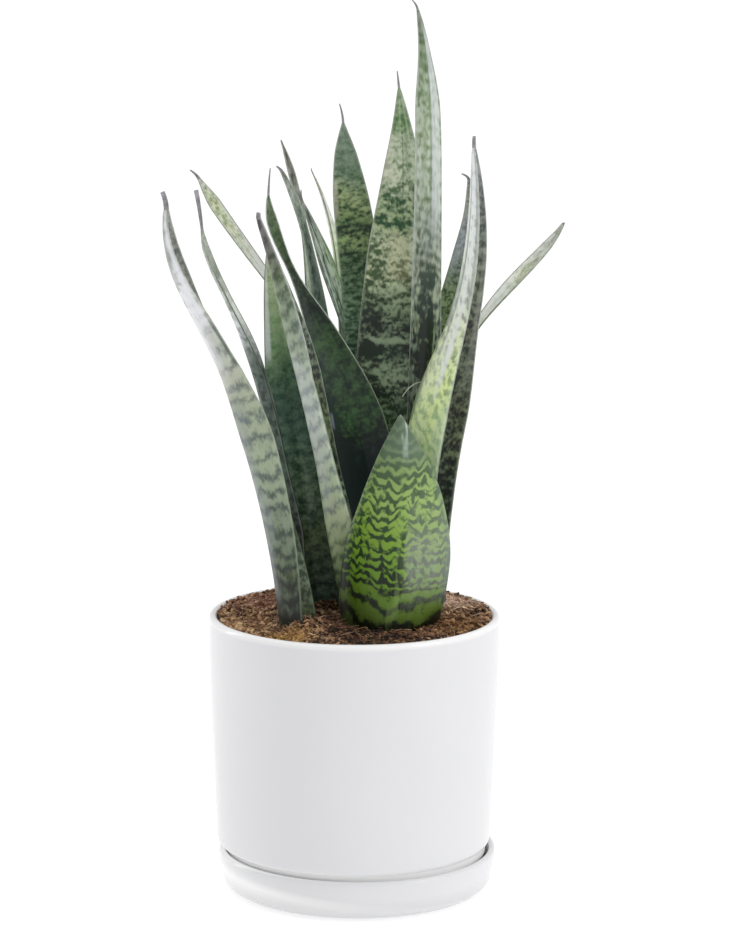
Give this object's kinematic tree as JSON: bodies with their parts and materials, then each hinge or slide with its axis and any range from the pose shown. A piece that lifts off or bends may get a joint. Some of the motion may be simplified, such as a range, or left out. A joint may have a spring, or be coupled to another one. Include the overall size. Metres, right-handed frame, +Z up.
{
  "type": "potted snake plant",
  "caption": "Upright banded zeylanica snake plant in a round white glazed pot on its saucer, for a floor, shelf or table.",
  "frame": {"origin": "on the pot's axis, at the flat underside of the saucer", "axes": "+Z up along the pot's axis; the plant is seen from -Y with +X to the right"},
  "size_m": [0.2073, 0.1608, 0.4645],
  "materials": {
    "glaze": "smooth white gloss glaze",
    "soil": "loose damp potting mix of coir, peat and bark",
    "leaf": "waxy satin leaf, dark green with pale cross bands"
  },
  "bodies": {
    "root": {"pot": "glaze", "saucer": "glaze", "soil": "soil", "leaf_01": "leaf", "leaf_02": "leaf", "leaf_03": "leaf", "leaf_04": "leaf", "leaf_05": "leaf", "leaf_06": "leaf", "leaf_07": "leaf", "leaf_08": "leaf", "leaf_09": "leaf", "leaf_10": "leaf", "leaf_11": "leaf", "leaf_12": "leaf", "leaf_13": "leaf", "leaf_14": "leaf", "leaf_15": "leaf", "leaf_16": "leaf", "leaf_17": "leaf"}
  },
  "joints": []
}
